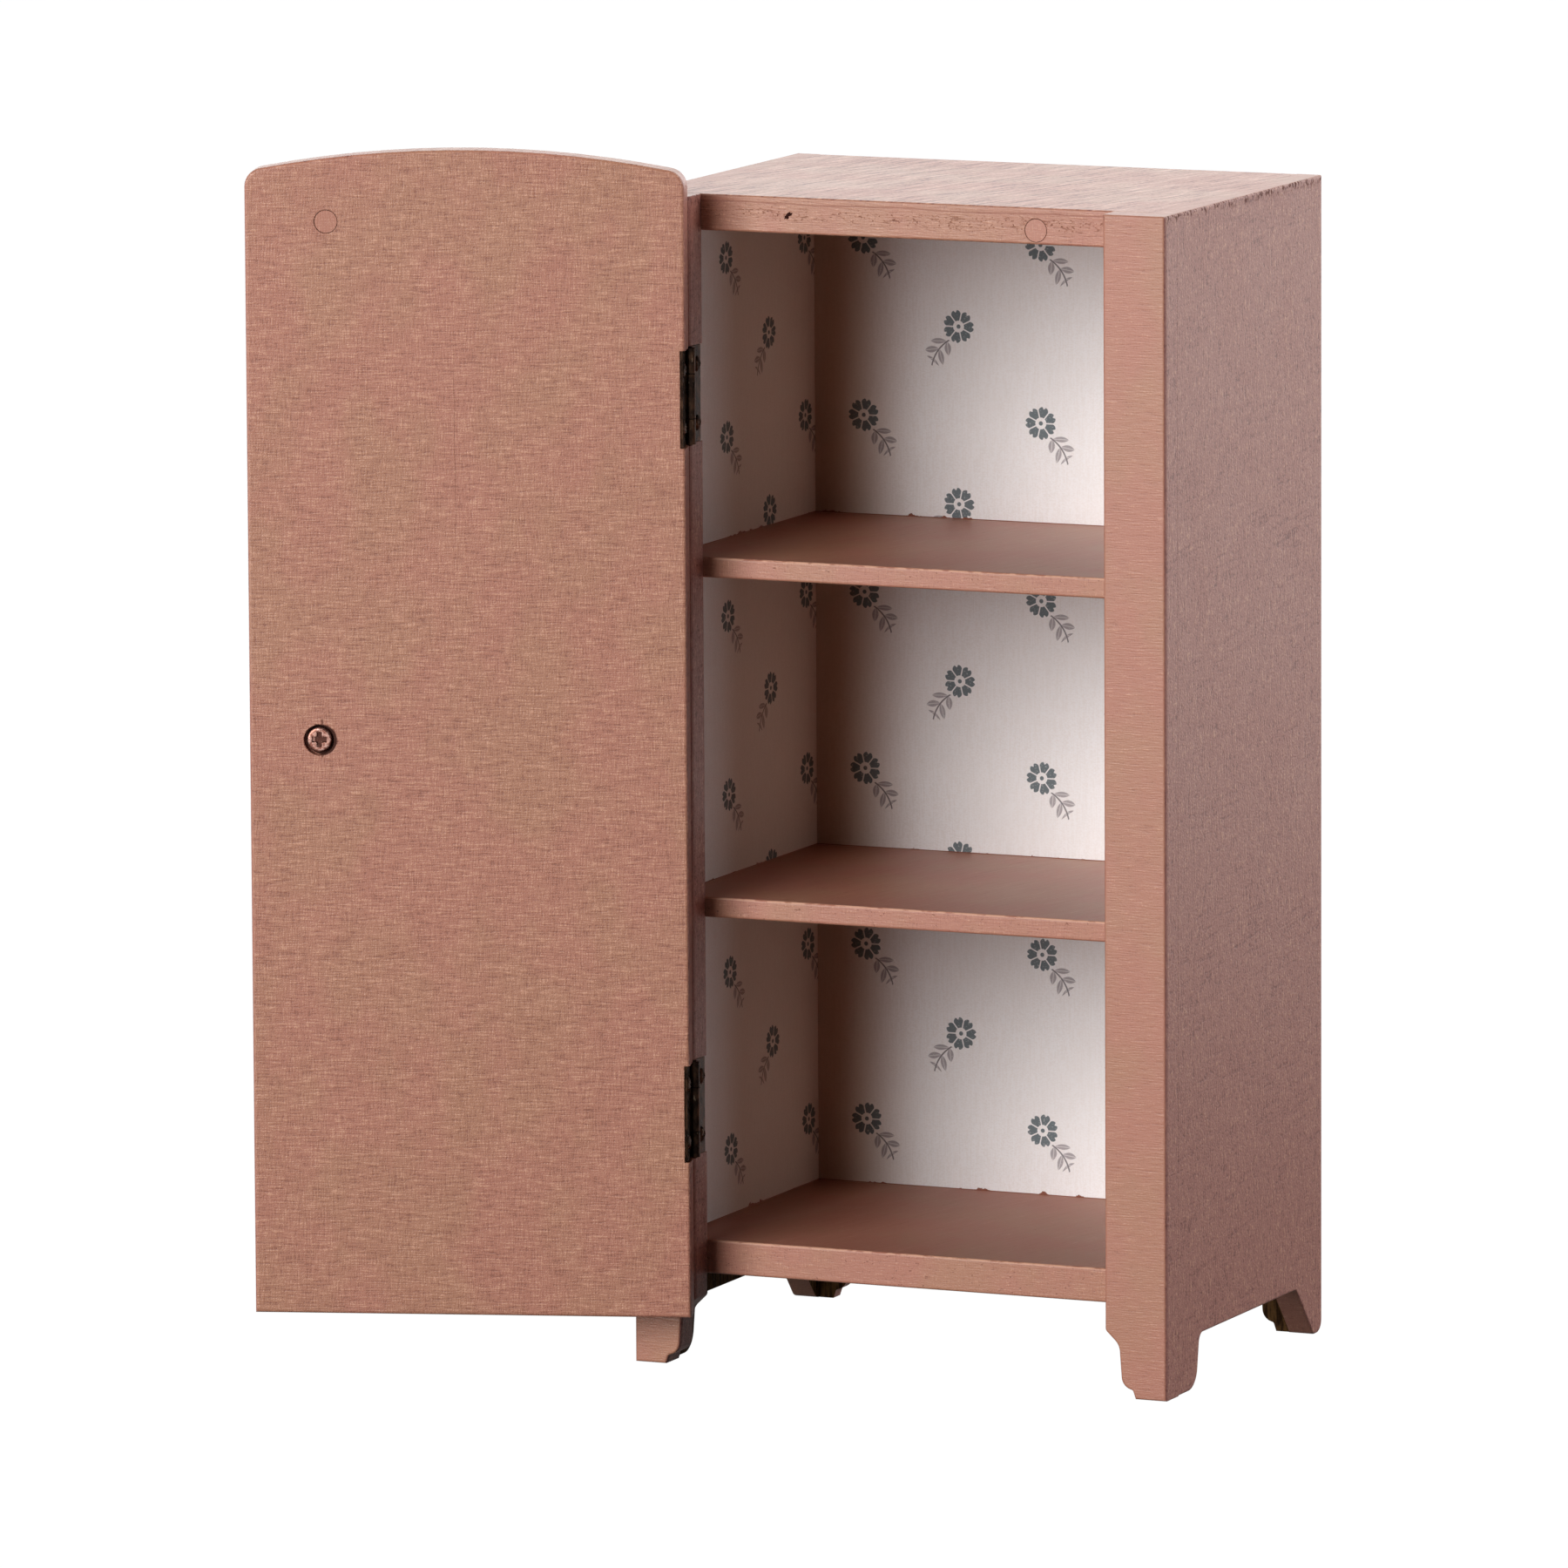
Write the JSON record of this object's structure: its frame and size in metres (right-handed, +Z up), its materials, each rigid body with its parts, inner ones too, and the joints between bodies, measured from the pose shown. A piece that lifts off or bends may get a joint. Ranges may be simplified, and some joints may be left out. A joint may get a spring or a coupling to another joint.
{
  "type": "dolls house wardrobe",
  "caption": "Free-standing dolls' house wardrobe with open shelves, patterned paper lining, shaped feet and one arched door on butt hinges with a magnetic catch.",
  "frame": {"origin": "on the floor, under the middle of the box round the whole wardrobe with its door open at rest", "axes": "+Z up, the open front faces -Y, +X towards the side away from the hinges"},
  "size_m": [0.1726, 0.1096, 0.2292],
  "materials": {
    "painted_wood": "brushed satin paint over wood",
    "lining_paper": "matt printed paper",
    "painted_magnet": "paint over nickel",
    "aged_brass": "dark aged",
    "screw_metal": "dull, rubbed with paint"
  },
  "bodies": {
    "carcass": {"right_stile": "painted_wood", "left_stile": "painted_wood", "right_side_panel": "painted_wood", "left_side_panel": "painted_wood", "back_panel": "painted_wood", "top_board": "painted_wood", "bottom_board": "painted_wood", "lower_shelf": "painted_wood", "upper_shelf": "painted_wood", "right_lining_paper": "lining_paper", "left_lining_paper": "lining_paper", "back_lining_paper": "lining_paper", "frame_magnet": "painted_magnet", "upper_hinge_frame_leaf": "aged_brass", "upper_hinge_frame_screws": "aged_brass", "upper_hinge_pin": "aged_brass", "lower_hinge_frame_leaf": "aged_brass", "lower_hinge_frame_screws": "aged_brass", "lower_hinge_pin": "aged_brass"},
    "door": {"door_panel": "painted_wood", "door_knob": "aged_brass", "door_knob_screw": "screw_metal", "door_magnet": "painted_magnet", "upper_hinge_door_leaf": "aged_brass", "upper_hinge_door_screws": "aged_brass", "lower_hinge_door_leaf": "aged_brass", "lower_hinge_door_screws": "aged_brass"}
  },
  "joints": [
    {"name": "door_hinge", "type": "hinge", "parent": "carcass", "child": "door", "pos_m": [-0.0086, -0.0234, 0.116], "axis": [0, 0, -1], "range_deg": [-162, 18]}
  ]
}
